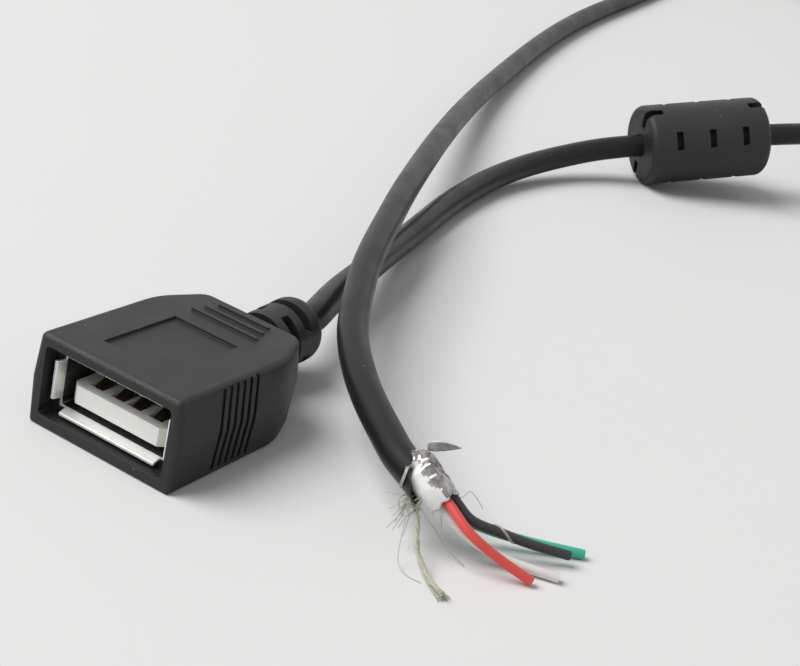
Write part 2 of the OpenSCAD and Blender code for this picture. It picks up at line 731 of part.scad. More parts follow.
// Loose strands of the screen, fanned out beside the cut
module shield_strands() {
    rim = foil_out + strand_d / 2 + seat;
    color("#c4beb2") for (i = [0:strand_count - 1]) {
        share = i / (strand_count - 1);
        a = fan_from + fan_sweep * share;
        h = strand_from + strand_sweep * share;
        out = cos(a) * cut_side + sin(a) * cut_up;
        start = cut + rim * out + seat * cut_dir;
        reach = strand_reach - strand_step * (i % 3);
        tip = start + reach * [cos(h), sin(h), -strand_drop];
        bar_along(smooth([start, start + strand_lead * cut_dir + strand_flare * out,
            [tip[0], tip[1], max(strand_d, tip[2])]], 2), strand_d, 5);
    }
}

// Screen strands twisted into a drain, from below the foil to the floor
module drain_pigtail() {
    color("#b8b4aa") bar_along(smooth(drain_way, 2), drain_d, 8);
}

// Foil around the wires, with a leaf that stands off
module foil_wrap() {
    color("#cfd2d4") {
        tube_along(smooth(core_way, 2), 2 * foil_out, 2 * foil_in, 10);
        translate(leaf_root) rotate([0, -leaf_lift, leaf_heading])
            linear_extrude(foil_t) polygon([[0, -leaf_w / 4], [leaf_len * 0.6, -leaf_w / 2], [leaf_len, 0],
                [leaf_len * 0.5, leaf_w / 2], [0, leaf_w / 4]]);
    }
}

// Insulation of one stripped wire
module stripped_wire(side, up, way) {
    tube_along(wire_path(side, up, way), wire_d, 2 * lead_core, 8);
}

module wire_red() { color("#c93b40") stripped_wire(bundle, bundle, red_way); }
module wire_black() { color("#202122") stripped_wire(-bundle, bundle, black_way); }
module wire_green() { color("#2f9f7d") stripped_wire(-bundle, -bundle, green_way); }
module wire_white() { color("#f2f2f0") stripped_wire(bundle, -bundle, white_way); }

// Conductors inside the four stripped wires, flush with their ends
module wire_conductors() {
    color("#c07a45") {
        bar_along(wire_path(bundle, bundle, red_way), conductor_d, 8);
        bar_along(wire_path(-bundle, bundle, black_way), conductor_d, 8);
        bar_along(wire_path(-bundle, -bundle, green_way), conductor_d, 8);
        bar_along(wire_path(bundle, -bundle, white_way), conductor_d, 8);
    }
}

socket_overmould();
inner_mould();
receptacle_shell();
contact_insulator();
contact_vbus();
contact_data_minus();
contact_data_plus();
contact_ground();
contact_solder();
lead_red();
lead_white();
lead_green();
lead_black();
lead_conductors();
drain_tail();
drain_solder();
cable_jacket();
ferrite_core();
bead_overmould();
shield_strands();
drain_pigtail();
foil_wrap();
wire_red();
wire_black();
wire_green();
wire_white();
wire_conductors();
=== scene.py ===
# %% [markdown]
# A socket on a screened cable, lying on a pale table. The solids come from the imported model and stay
# where they are. This lesson gives every surface its finish, and remakes the soft or finely shaped
# pieces: the cable with its slanted cut, the coloured wires, the crumpled foil and the loose strands of
# the screen. Everything is in metres, in the solids' own frame. Places that are easier to read in
# millimetres are multiplied by MM when they are used.

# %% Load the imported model
import math
import random
import bmesh
import bpy
from mathutils import Matrix, Vector, noise


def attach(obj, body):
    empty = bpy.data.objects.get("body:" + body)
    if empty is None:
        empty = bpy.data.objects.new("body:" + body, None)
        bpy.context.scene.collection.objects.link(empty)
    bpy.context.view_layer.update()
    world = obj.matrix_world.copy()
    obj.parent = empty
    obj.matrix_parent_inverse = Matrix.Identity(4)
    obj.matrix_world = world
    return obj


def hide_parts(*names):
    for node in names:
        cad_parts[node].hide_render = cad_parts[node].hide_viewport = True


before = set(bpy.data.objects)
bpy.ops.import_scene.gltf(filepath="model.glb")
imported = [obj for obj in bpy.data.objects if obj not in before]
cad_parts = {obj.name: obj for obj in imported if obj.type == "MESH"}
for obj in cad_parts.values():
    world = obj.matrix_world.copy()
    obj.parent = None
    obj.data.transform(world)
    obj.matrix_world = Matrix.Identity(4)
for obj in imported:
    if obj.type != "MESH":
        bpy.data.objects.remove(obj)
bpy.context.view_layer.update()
MM = 0.001
UP = Vector((0, 0, 1))
scene = bpy.context.scene

# %% [markdown]
# The camera is a real lens in a real place: 80 mm on a 36 mm sensor, about 17 cm from the socket, looking
# down by 24 degrees. It is rolled by 12.7 degrees, because a socket that lies flat here is held a little
# tilted by its stiff cable in real life. The three axes are worked out from those angles, so no tracking
# constraint is needed.

# %% Camera
HEADING = math.radians(28.12)
DOWN = math.radians(24.07)
ROLL = math.radians(12.68)
CAMERA_AT = (0.08623, -0.12484, 0.08)
LENS_MM = 80
SENSOR_MM = 36
NEAREST = 0.01
level = Vector((math.cos(HEADING), math.sin(HEADING), 0))
look = Vector((-math.sin(HEADING) * math.cos(DOWN), math.cos(HEADING) * math.cos(DOWN), -math.sin(DOWN)))
upright = level.cross(look)
cam_right = math.cos(ROLL) * level + math.sin(ROLL) * upright
cam_up = math.cos(ROLL) * upright - math.sin(ROLL) * level
lens = bpy.data.cameras.new("lens")
lens.lens = LENS_MM
lens.sensor_width = SENSOR_MM
lens.sensor_fit = "HORIZONTAL"
lens.clip_start = NEAREST
camera = bpy.data.objects.new("camera", lens)
turn = Matrix((cam_right, cam_up, -look)).transposed().to_4x4()
camera.matrix_world = Matrix.Translation(CAMERA_AT) @ turn
scene.collection.objects.link(camera)
scene.camera = camera
scene.view_settings.view_transform = "Standard"
print("camera looks along", [round(x, 3) for x in look])

# %% [markdown]
# The cable is one smooth line. Between two points runs a cubic curve whose direction at each point is a
# mean of the two neighbouring chords, and the nearer chord counts for more. That keeps short and long
# steps equally smooth, which a uniform spline doesn't.

# %% Smooth lines through points
def slope_at(points, i):
    if i == 0:
        return (points[1] - points[0]).normalized()
    if i == len(points) - 1:
        return (points[i] - points[i - 1]).normalized()
    back = points[i] - points[i - 1]
    ahead = points[i + 1] - points[i]
    mixed = back.normalized() * ahead.length + ahead.normalized() * back.length
    return mixed / (back.length + ahead.length)


def smooth_line(points, steps):
    points = [Vector(p) for p in points]
    line = []
    for i in range(len(points) - 1):
        a = points[i]
        b = points[i + 1]
        start = slope_at(points, i) * (b - a).length
        end = slope_at(points, i + 1) * (b - a).length
        for k in range(steps):
            t = k / steps
            s = t * t
            c = s * t
            near_a = (2 * c - 3 * s + 1) * a + (c - 2 * s + t) * start
            line.append(near_a + (3 * s - 2 * c) * b + (c - s) * end)
    line.append(points[-1])
    return line


def in_metres(points):
    return [Vector(p) * MM for p in points]


print("a corner of 3 points gives", len(smooth_line([(0, 0, 0), (1, 0, 0), (1, 1, 0)], 4)))

# %% [markdown]
# Several pieces lie beside a line or wind round it: the wires in their bundle, the foil's seam, the
# strands of the pigtail. They need three axes at a point of the line: ahead along it, level to its side,
# and up across both. A spoke is then the direction at some angle round the line.

# %% Axes along a line
def axes_at(points, i):
    ahead = slope_at(points, i).normalized()
    side = ahead.cross(UP).normalized()
    return ahead, side, side.cross(ahead)


def spoke(side, up, angle):
    return math.cos(angle) * side + math.sin(angle) * up


print("axes of a line along y", axes_at([Vector((0, 0, 0)), Vector((0, 1, 0))], 0))

# %% [markdown]
# A round cord starts as a curve with a round bevel, which keeps a tube's rings square to its line. It is
# made a mesh straight away, because a mesh can be cut, and because its box is the box of the tube itself.
# One object may hold several lines: that is how a bundle of fine strands stays one piece.

# %% Tubes along lines
def tube_mesh(name, lines, radius, roundness, caps=True, swell=None):
    data = bpy.data.curves.new(name, "CURVE")
    data.dimensions = "3D"
    data.bevel_depth = radius * MM
    data.bevel_resolution = roundness
    data.use_fill_caps = caps
    for line in lines:
        spline = data.splines.new("POLY")
        spline.points.add(len(line) - 1)
        spline.use_smooth = True
        for i, place in enumerate(line):
            spline.points[i].co = (place.x, place.y, place.z, 1)
            spline.points[i].radius = swell[i] if swell else 1
    holder = bpy.data.objects.new(name, data)
    mesh = bpy.data.meshes.new_from_object(holder)
    bpy.data.objects.remove(holder)
    bpy.data.curves.remove(data)
    mesh.materials.clear()
    mesh.name = name
    return mesh


# %% [markdown]
# Every new piece is handled alike. Its object stays at the origin, because its place is in its mesh. It
# rides on the lead's one body, and the solids that it stands for are hidden. Its shading is smooth, apart
# from edges that turn by more than 40 degrees.

# %% Place and shade a piece
SHARP = math.radians(40)


def place_piece(name, mesh, slot, *nodes):
    piece = bpy.data.objects.new(name, mesh)
    scene.collection.objects.link(piece)
    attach(piece, "root")
    if nodes:
        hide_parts(*nodes)
    return piece


def shade(mesh, sharp=SHARP):
    mesh.shade_smooth()
    mesh.set_sharp_from_angle(angle=sharp)


# %% [markdown]
# The jacket follows the same round numbers as its solid: out of the strain relief, which rises by 3.2
# degrees, down to the table, up through the leaning bead, round one loop on the table out of sight, and
# back over itself to the place where it is cut off. The bead's axis is turned by 48 degrees and rises by
# 11, because the bead leans on the edge of its near end.

# %% Route of the cable
CABLE_D = 3.2
BEAD_LEN = 18.5
BEAD_D = 11.5
BEAD_ROUND = 1.0
BEAD_STRAIGHT = 2
BEAD_TURN = math.radians(48)
BEAD_RISE = math.radians(11)
BEAD_REST = (BEAD_ROUND + (BEAD_D / 2 - BEAD_ROUND) * math.cos(BEAD_RISE)
             + (BEAD_LEN / 2 - BEAD_ROUND) * math.sin(BEAD_RISE))
BEAD_AT = Vector((-1.3, 116.8, BEAD_REST))
BEAD_DIR = Vector((math.cos(BEAD_TURN), math.sin(BEAD_TURN), math.tan(BEAD_RISE))).normalized()
BEAD_RUN = BEAD_LEN / 2 + BEAD_STRAIGHT
RELIEF_LEN = 8.8
RELIEF_STRAIGHT = 1
RELIEF_RISE = math.radians(3.2)
RELIEF_DIR = Vector((0, math.cos(RELIEF_RISE), math.sin(RELIEF_RISE)))
RELIEF_ROOT = Vector((0, 6.5, 4.6))
RELIEF_END = RELIEF_ROOT + RELIEF_LEN * RELIEF_DIR
LOW = 1.65
ROUTE = [
    RELIEF_ROOT + RELIEF_STRAIGHT * RELIEF_DIR, RELIEF_END - RELIEF_STRAIGHT * RELIEF_DIR, RELIEF_END,
    (-0.3, 17.8, 5.16), (-1.1, 20.4, 5.05), (-2.4, 24.2, 4.8), (-6.6, 38.3, 3.4), (-11, 53.8, 2.1),
    (-15.6, 74.4, 1.7), (-16.4, 82.9, 1.9), (-16, 90.9, 2.4), (-14.2, 98.7, 3.2), (-11.3, 105, 4.3),
    BEAD_AT - BEAD_RUN * BEAD_DIR, BEAD_AT - BEAD_LEN / 2 * BEAD_DIR,
    BEAD_AT + BEAD_LEN / 2 * BEAD_DIR, BEAD_AT + BEAD_RUN * BEAD_DIR,
    (9.1, 129.3, 9.9), (13.9, 150, 7.9), (10.8, 171, 3.7), (3.2, 192.5, 1.85), (-6, 214, LOW),
    (-21.6, 253, LOW), (-26, 264, LOW), (-32.1, 271.9, LOW), (-41.8, 275.3, LOW), (-51.4, 273, LOW),
    (-58.6, 265.8, LOW), (-61.5, 250, LOW), (-58.4, 210, LOW), (-54.5, 181, LOW),
    (-40, 124, 2.4), (-17.9, 65.9, 7), (-8.5, 44.2, 8.3), (0.8, 24.2, 8.1), (8.5, 11.8, 7.5),
    (15, 4.9, 7), (20, 0.9, 6.5), (22.4, -0.9, 6.3), (25.1, -2.4, 6.1),
]
ROUTE_STEPS = 10
jacket_line = in_metres(smooth_line(ROUTE, ROUTE_STEPS))
jacket_length = sum((b - a).length for a, b in zip(jacket_line, jacket_line[1:]))
print("route points", len(ROUTE), "jacket length", round(jacket_length, 4))

# %% [markdown]
# Everything at the stripped end is placed from the middle of the cut, with the cable's own axes there.
# They are taken from a line with two steps between points, because the solid's line has as many, and so
# the two agree. The jacket reaches furthest on its lower side, towards the camera, and LOWER_SIDE points
# that way.

# %% Where the jacket is cut
SOLID_STEPS = 2
LOWER_ACROSS = 0.806
LOWER_DOWN = 0.59
CUT = Vector(ROUTE[-1])
solid_line = smooth_line(ROUTE, SOLID_STEPS)
CUT_DIR, CUT_SIDE, CUT_UP = axes_at(solid_line, len(solid_line) - 1)
LOWER_SIDE = LOWER_ACROSS * CUT_SIDE - LOWER_DOWN * CUT_UP
print("cut at", CUT, "along", CUT_DIR)

# %% [markdown]
# The jacket was cut with a slanting stroke. The tube runs on a little past its solid's end and is cut by
# a slanted plane. The cut is closed with one face, which is inset to leave the jacket's wall and pushed
# in to make the hollow that the wires come out of. The cut works only on the faces near the end, because
# the plane would meet the cable in other places too.

# %% Cut, inset and push in
JACKET_WALL = 0.36
JACKET_HOLLOW = 0.3
CUT_CLOSE = 1e-8


def push_in(work, face, wall, step):
    bmesh.ops.inset_region(work, faces=[face], thickness=wall * MM, use_even_offset=True)
    pushed = bmesh.ops.extrude_face_region(work, geom=[face])
    moved = [item for item in pushed["geom"] if isinstance(item, bmesh.types.BMVert)]
    bmesh.ops.translate(work, verts=moved, vec=step)
    if face.is_valid:
        bmesh.ops.delete(work, geom=[face], context="FACES_ONLY")


def slanted_end(mesh, centre, normal, reach):
    work = bmesh.new()
    work.from_mesh(mesh)
    near = [f for f in work.faces if (f.calc_center_median() - centre).length < reach]
    geom = set(near)
    for f in near:
        geom.update(f.edges)
        geom.update(f.verts)
    cut = bmesh.ops.bisect_plane(work, geom=list(geom), dist=CUT_CLOSE, plane_co=centre, plane_no=normal,
                                 clear_outer=True)
    rim = [item for item in cut["geom_cut"] if isinstance(item, bmesh.types.BMEdge)]
    end = bmesh.ops.contextual_create(work, geom=rim)["faces"][0]
    bmesh.ops.recalc_face_normals(work, faces=work.faces)
    push_in(work, end, JACKET_WALL, -JACKET_HOLLOW * MM * CUT_DIR)
    bmesh.ops.recalc_face_normals(work, faces=work.faces)
    work.to_mesh(mesh)
    work.free()


# %% [markdown]
# The jacket of the real cable is extruded in one go, so it is one tube from inside the strain relief to
# the cut. A slant of 1.44 means that the cut runs 1.44 mm along the cable for each millimetre across it.

# %% Cable jacket with its slanted cut
CUT_EXTRA = 3.0
CUT_AHEAD = 0.45
CUT_SLANT = 1.44
CUT_REACH = 8
JACKET_ROUNDNESS = 10
long_line = jacket_line + [(CUT + CUT_EXTRA * CUT_DIR) * MM]
jacket_mesh = tube_mesh("jacket", [long_line], CABLE_D / 2, JACKET_ROUNDNESS)
slanted_end(jacket_mesh, (CUT + CUT_AHEAD * CUT_DIR) * MM, CUT_DIR - CUT_SLANT * LOWER_SIDE, CUT_REACH * MM)
shade(jacket_mesh)
jacket = place_piece("jacket", jacket_mesh, "pvc_jacket", "cable_jacket")
print("jacket faces", len(jacket_mesh.polygons))

# %% [markdown]
# A finish that several materials share is a node group with named sockets. Two helpers keep the groups
# short: one makes a group with its sockets, and the other adds a node, links its inputs and sets its
# values. A value goes to the node's own setting of that name where it has one, and else to the input of
# that name.

# %% Helpers for node groups
def new_group(name, inputs, outputs):
    group = bpy.data.node_groups.new(name, "ShaderNodeTree")
    for label, kind, value in inputs:
        socket = group.interface.new_socket(label, in_out="INPUT", socket_type=kind)
        if value is not None:
            socket.default_value = value
    for label in outputs:
        group.interface.new_socket(label, in_out="OUTPUT", socket_type="NodeSocketFloat")
    return group, group.nodes.new("NodeGroupInput"), group.nodes.new("NodeGroupOutput")


def add(tree, kind, links=None, **settings):
    node = tree.nodes.new(kind)
    for key, value in settings.items():
        if hasattr(node, key):
            setattr(node, key, value)
        else:
            node.inputs[key.replace("_", " ")].default_value = value
    for key, source in (links or {}).items():
        tree.links.new(source, node.inputs[key])
    return node


# %% [markdown]
# The first group is the grain of a moulded plastic: the spark-eroded steel mould leaves tiny pits, and
# there is a slower unevenness where the plastic shrank. The group gives a height for a Bump node and a
# mask that varies colour and gloss. A noise does both, because real pits follow no pattern.

# %% Moulded grain
grain, g_in, g_out = new_group(
    "moulded grain",
    [("Place", "NodeSocketVector", None), ("Pit scale", "NodeSocketFloat", 5500.0),
     ("Slow scale", "NodeSocketFloat", 260.0)],
    ["Height", "Mask"],
)
g_place = g_in.outputs["Place"]
pits = add(grain, "ShaderNodeTexNoise", {"Vector": g_place, "Scale": g_in.outputs["Pit scale"]},
           Detail=3.0, Roughness=0.6)
slow = add(grain, "ShaderNodeTexNoise", {"Vector": g_place, "Scale": g_in.outputs["Slow scale"]},
           Detail=2.0, Roughness=0.5)
height = add(grain, "ShaderNodeMath", {0: pits.outputs["Fac"], 1: slow.outputs["Fac"]}, operation="ADD")
grain.links.new(height.outputs[0], g_out.inputs["Height"])
mask = add(grain, "ShaderNodeMapRange", {"Value": slow.outputs["Fac"]}, From_Min=0.3, From_Max=0.7)
grain.links.new(mask.outputs["Result"], g_out.inputs["Mask"])
print("group", grain.name)

# %% [markdown]
# The second group makes long faint streaks, as drawn metal has. It is the same kind of noise, pulled long
# by multiplying the place with a stretch before the noise reads it.

# %% Drawn streaks
streaks, s_in, s_out = new_group(
    "drawn streaks",
    [("Place", "NodeSocketVector", None), ("Stretch", "NodeSocketVector", (1.0, 0.03, 1.0)),
     ("Scale", "NodeSocketFloat", 4000.0)],
    ["Height", "Mask"],
)
pulled = add(streaks, "ShaderNodeVectorMath", {0: s_in.outputs["Place"], 1: s_in.outputs["Stretch"]},
             operation="MULTIPLY")
lines = add(streaks, "ShaderNodeTexNoise", {"Vector": pulled.outputs[0], "Scale": s_in.outputs["Scale"]},
            Detail=4.0, Roughness=0.6)
streaks.links.new(lines.outputs["Fac"], s_out.inputs["Height"])
soft = add(streaks, "ShaderNodeMapRange", {"Value": lines.outputs["Fac"]}, From_Min=0.35, From_Max=0.65)
streaks.links.new(soft.outputs["Result"], s_out.inputs["Mask"])
print("group", streaks.name)

# %% [markdown]
# The third group scatters a few specks of dust. A Voronoi texture gives every speck a cell of its own,
# with the distance from its middle and a random colour. A point is dust where that distance is within
# reach and the cell's colour is under the share of cells that hold a speck.

# %% Specks of dust
dust, d_in, d_out = new_group(
    "dust specks",
    [("Place", "NodeSocketVector", None), ("Scale", "NodeSocketFloat", 700.0),
     ("Reach", "NodeSocketFloat", 0.07), ("Share", "NodeSocketFloat", 0.35)],
    ["Mask"],
)
cells = add(dust, "ShaderNodeTexVoronoi", {"Vector": d_in.outputs["Place"], "Scale": d_in.outputs["Scale"]})
chosen = add(dust, "ShaderNodeSeparateColor", {"Color": cells.outputs["Color"]})
inside = add(dust, "ShaderNodeMath", {0: cells.outputs["Distance"], 1: d_in.outputs["Reach"]},
             operation="LESS_THAN")
kept = add(dust, "ShaderNodeMath", {0: chosen.outputs[0], 1: d_in.outputs["Share"]}, operation="LESS_THAN")
speck = add(dust, "ShaderNodeMath", {0: inside.outputs[0], 1: kept.outputs[0]}, operation="MULTIPLY")
dust.links.new(speck.outputs[0], d_out.inputs["Mask"])
print("group", dust.name)

# %% [markdown]
# Every finish starts the same way: a Principled shader, one of the groups on Object coordinates, two
# colours mixed by the group's mask, a roughness that follows the same mask, and a bump from its height.
# What is the same all over, such as the specular level, is set on the shader itself. A dusty finish mixes
# a pale grey in where a speck lies.

# %% Make a finish
DUST_GREY = (0.14, 0.14, 0.135, 1)
BUMP_DEPTH = 0.00006


def finish(name, light, dark, rough, bump, group=grain, metallic=0.0, specular=0.5, spread=0.06, dusty=False,
           **knobs):
    material = bpy.data.materials.new(name)
    material.use_nodes = True
    tree = material.node_tree
    shader = tree.nodes["Principled BSDF"]
    shader.inputs["Metallic"].default_value = metallic
    shader.inputs["Specular IOR Level"].default_value = specular
    where = add(tree, "ShaderNodeTexCoord")
    effect = add(tree, "ShaderNodeGroup", node_tree=group)
    tree.links.new(where.outputs["Object"], effect.inputs["Place"])
    for key, value in knobs.items():
        effect.inputs[key.replace("_", " ")].default_value = value
    tint = add(tree, "ShaderNodeMix", {"Factor": effect.outputs["Mask"]}, data_type="RGBA")
    tint.inputs["A"].default_value = (*dark, 1)
    tint.inputs["B"].default_value = (*light, 1)
    if dusty:
        specks = add(tree, "ShaderNodeGroup", {"Place": where.outputs["Object"]}, node_tree=dust)
        tint = add(tree, "ShaderNodeMix", {"Factor": specks.outputs["Mask"], "A": tint.outputs["Result"]},
                   data_type="RGBA")
        tint.inputs["B"].default_value = DUST_GREY
    tree.links.new(tint.outputs["Result"], shader.inputs["Base Color"])
    gloss = add(tree, "ShaderNodeMapRange", {"Value": effect.outputs["Mask"]}, To_Min=rough - spread,
                To_Max=rough + spread)
    tree.links.new(gloss.outputs["Result"], shader.inputs["Roughness"])
    dent = add(tree, "ShaderNodeBump", {"Height": effect.outputs["Height"]}, Strength=bump,
               Distance=BUMP_DEPTH)
    tree.links.new(dent.outputs["Normal"], shader.inputs["Normal"])
    return material


# %% [markdown]
# Black soft plastic isn't black: it has a reflectance of one or two per cent and a broad sheen. The
# jacket is extruded, so it is smoother than the moulded socket and its pits are wider apart. The tongue
# of the socket is a hard white plastic, and the inner mould is left in its natural colour.

# %% Finishes of the plastics
EXTRUDED_PITS = 3000.0
moulding_black = finish("moulding_black", (0.017, 0.0185, 0.018), (0.012, 0.013, 0.0125), rough=0.5, bump=0.9,
                        specular=0.37, dusty=True)
jacket_black = finish("jacket_black", (0.014, 0.0155, 0.015), (0.01, 0.011, 0.0108), rough=0.38, bump=0.08,
                      specular=0.2, dusty=True, Pit_scale=EXTRUDED_PITS)
inner_natural = finish("inner_natural", (0.72, 0.72, 0.68), (0.66, 0.66, 0.62), rough=0.5, bump=0.2)
tongue_white = finish("tongue_white", (0.93, 0.94, 0.89), (0.88, 0.89, 0.84), rough=0.35, bump=0.08)
print("plastics", len(bpy.data.materials))

# %% [markdown]
# The shell is tin-plated sheet. Its lips get the bright tin, and its inside gets a darkened copy of the
# same tin, which is painted shade. The contacts are gold-flashed, and their colour is darkened to the
# brown of painted shade, because they lie deep in their slots. The screen is tinned copper that has gone
# dull, so it is metallic only in part. All but the solder are drawn or rolled, and have streaks.

# %% Finishes of the metals
lip_tin = finish("lip_tin", (0.96, 0.95, 0.91), (0.9, 0.89, 0.85), rough=0.4, bump=0.02,
                 group=streaks, metallic=0.7)
# Painted shade: this darkened copy of the tin stands for the shade inside the shell.
shell_tin_painted_shade = finish("shell_tin_painted_shade", (0.22, 0.215, 0.2), (0.15, 0.147, 0.135), rough=0.36, bump=0.02,
                   group=streaks, metallic=1.0)
# Painted shade: the contacts' gold is darkened to the brown that they show deep in their slots.
contact_gold = finish("contact_gold", (0.24, 0.16, 0.085), (0.15, 0.1, 0.055), rough=0.4, bump=0.03,
                      group=streaks, metallic=1.0)
solder_grey = finish("solder_grey", (0.62, 0.63, 0.65), (0.52, 0.53, 0.55), rough=0.35, bump=0.1,
                     metallic=1.0)
copper_bare = finish("copper_bare", (0.72, 0.38, 0.2), (0.6, 0.3, 0.16), rough=0.35, bump=0.03,
                     group=streaks, metallic=1.0)
strand_tinned = finish("strand_tinned", (0.52, 0.52, 0.43), (0.38, 0.38, 0.31), rough=0.45, bump=0.02,
                       group=streaks, metallic=0.2)
strand_dull = finish("strand_dull", (0.5, 0.49, 0.46), (0.4, 0.39, 0.36), rough=0.5, bump=0.02,
                     group=streaks, metallic=0.2)
print("plastics and metals", len(bpy.data.materials))

# %% [markdown]
# The bead's core is pressed ferrite, a dark and dull ceramic, and its colour is darkened further as painted
# shade, so that the core reads black through the bead's windows. The foil is aluminium on a white plastic
# film, and both of its sides show. Its streaks are short and wide, and their dark tone is painted shade
# that reads as creases. The torn leaf is flatter and paler.

# %% Finishes of ferrite, foil and film
# Partly painted shade: the ferrite is darker than its own tone, standing for the shade in the windows.
ferrite_dark_with_painted_shade = finish("ferrite_dark_with_painted_shade", (0.012, 0.012, 0.013), (0.008, 0.008, 0.009), rough=0.75, bump=0.4,
                      specular=0.15)
# Painted shade: the dark tone in this finish's streaks stands for shade in the foil's creases.
foil_bare_painted_crease_shade = finish("foil_bare_painted_crease_shade", (0.5, 0.48, 0.475), (0.17, 0.16, 0.16), rough=0.26, bump=0.03,
                   group=streaks, metallic=0.95, Stretch=(0.5, 1.0, 0.6), Scale=1300.0)
leaf_bare = finish("leaf_bare", (0.74, 0.72, 0.72), (0.5, 0.49, 0.49), rough=0.36, bump=0.03,
                   group=streaks, metallic=0.9, Stretch=(1.0, 1.0, 1.0), Scale=700.0)
film_white = finish("film_white", (0.93, 0.93, 0.91), (0.86, 0.86, 0.83), rough=0.45, bump=0.03,
                    Slow_scale=900.0)
print("with ferrite, foil and film", len(bpy.data.materials))

# %% [markdown]
# The four wires have the same extruded insulation in four colours, so one loop makes their finishes from
# a light and a dark tone of each colour.

# %% Finishes of the wires
WIRE_COLOURS = {
    "red": ((0.8, 0.09, 0.075), (0.7, 0.07, 0.06)),
    "black": ((0.026, 0.026, 0.027), (0.02, 0.02, 0.021)),
    "green": ((0.04, 0.5, 0.34), (0.033, 0.43, 0.29)),
    "white": ((0.78, 0.76, 0.73), (0.72, 0.7, 0.67)),
}
wire_finish = {}
for colour, (light, dark) in WIRE_COLOURS.items():
    wire_finish[colour] = finish("wire_" + colour, light, dark, rough=0.38, bump=0.06,
                                 Pit_scale=EXTRUDED_PITS)
print("finishes", len(bpy.data.materials))

# %% [markdown]
# The solids get their finish through their material slots. The mesh itself isn't touched. A piece that
# has no slots yet isn't cleared, because clearing would also reset which slot each face of a new mesh
# uses.

# %% Dress the solids
DRESS = {
    "inner_mould": inner_natural,
    "receptacle_shell": shell_tin_painted_shade,
    "contact_insulator": tongue_white,
    "contact_vbus": contact_gold,
    "contact_data_minus": contact_gold,
    "contact_data_plus": contact_gold,
    "contact_ground": contact_gold,
    "contact_solder": solder_grey,
    "lead_conductors": copper_bare,
    "drain_tail": strand_tinned,
    "drain_solder": solder_grey,
    "ferrite_core": ferrite_dark_with_painted_shade,
    "socket_overmould": moulding_black,
    "bead_overmould": moulding_black,
}
for colour, material in wire_finish.items():
    DRESS["lead_" + colour] = material


def wear(piece, *materials):
    if piece.data.materials:
        piece.data.materials.clear()
    for material in materials:
        piece.data.materials.append(material)
    return piece


for node_name, material in DRESS.items():
    wear(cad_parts[node_name], material)
wear(jacket, jacket_black)
print("dressed", len(DRESS))

# %% [markdown]
# A moulded or folded piece has no knife edges. Each solid that shows is remade from a copy: the loose
# triangles are merged, flat neighbours are joined, and a Bevel modifier puts a small round on every edge
# sharper than 40 degrees. Its clamp is off, because one very short edge would otherwise keep every round
# at nearly nothing. A Weighted Normal modifier then keeps the large faces flat and puts the shading's
# turn in the rounds.

# %% Copies with soft edges
MERGE_WITHIN = 2e-6
FLAT_WITHIN = math.radians(1)
EDGE_SEGMENTS = 2


def softened(node_name, name, width, slot):
    work = bmesh.new()
    work.from_mesh(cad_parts[node_name].data)
    bmesh.ops.remove_doubles(work, verts=work.verts, dist=MERGE_WITHIN)
    bmesh.ops.dissolve_limit(work, angle_limit=FLAT_WITHIN, verts=work.verts, edges=work.edges)
    mesh = bpy.data.meshes.new(name)
    work.to_mesh(mesh)
    work.free()
    shade(mesh)
    piece = place_piece(name, mesh, slot, node_name)
    edge = piece.modifiers.new("soft edges", "BEVEL")
    edge.width = width * MM
    edge.segments = EDGE_SEGMENTS
    edge.limit_method = "ANGLE"
    edge.angle_limit = SHARP
    edge.use_clamp_overlap = False
    flat = piece.modifiers.new("flat faces", "WEIGHTED_NORMAL")
    flat.keep_sharp = True
    wear(piece, DRESS[node_name])
    print(name, "faces", len(mesh.polygons))
    return piece


# %% [markdown]
# Four solids get soft edges: the socket's moulding, the bead, the shell and the tongue. The faces in
# front of a plane across the socket are the shell's lips and get the bright tin. The faces behind it get
# the darkened tin, which is painted shade inside the shell.

# %% Socket, bead, shell and tongue
LIPS_TO = -12.55 * MM
softened("socket_overmould", "socket_body", width=0.05, slot="pvc_moulding")
bead = softened("bead_overmould", "bead", width=0.1, slot="pvc_moulding")
shell = softened("receptacle_shell", "shell", width=0.05, slot="shell_steel")
softened("contact_insulator", "tongue", width=0.06, slot="insulator_white")
wear(shell, shell_tin_painted_shade, lip_tin)
# Painted shade: faces behind the lips get the darkened tin, faces in front of them the bright tin.
for face in shell.data.polygons:
    face.material_index = 1 if face.center.y < LIPS_TO else 0
print("bright lip faces", sum(face.material_index for face in shell.data.polygons))

# %% [markdown]
# At the stripped end four insulated wires leave the jacket side by side inside the foil, bend together,
# and then each goes its own way to the table. The bundle's middle line is moved sideways and up to give
# each wire's place, which keeps the four clear of each other. REST_Z is the height of a wire that lies on
# the table, and OVER_Z that of the black one's end, which stays a little above it.

# %% Ways of the wires
WIRE_D = 0.9
BUNDLE = 0.486
REST_Z = 0.48
OVER_Z = 1.08
WIRES_INSIDE = 2.8
WIRE_STEPS = 8
CORE_WAY = [
    CUT - WIRES_INSIDE * CUT_DIR, Vector((24.3, -1.65, 6.3)), Vector((25.1, -1.3, 6.35)),
    Vector((26, -1.45, 6.05)), Vector((27.3, -1.75, 5.45)), Vector((28.8, -1.9, 4.7)),
]
WIRE_WAYS = {
    "red": (1, 1, [(31.8, -2.9, 3.7), (34.7, -1.7, 1.9), (37.6, -0.3, REST_Z)]),
    "black": (-1, 1, [(30.7, -0.9, 3.7), (33, 1, 2.65), (35.4, 3.1, 1.75), (38.2, 5.4, OVER_Z)]),
    "green": (-1, -1, [(30.15, 0, 2.85), (31.7, 2.3, 1.6), (34.2, 4.2, 1.1), (38.6, 7.7, REST_Z)]),
    "white": (1, -1, [(30.4, -2, 3), (32.6, -0.9, 1.7), (34.6, 0.3, 0.9), (39, 2.2, REST_Z)]),
}


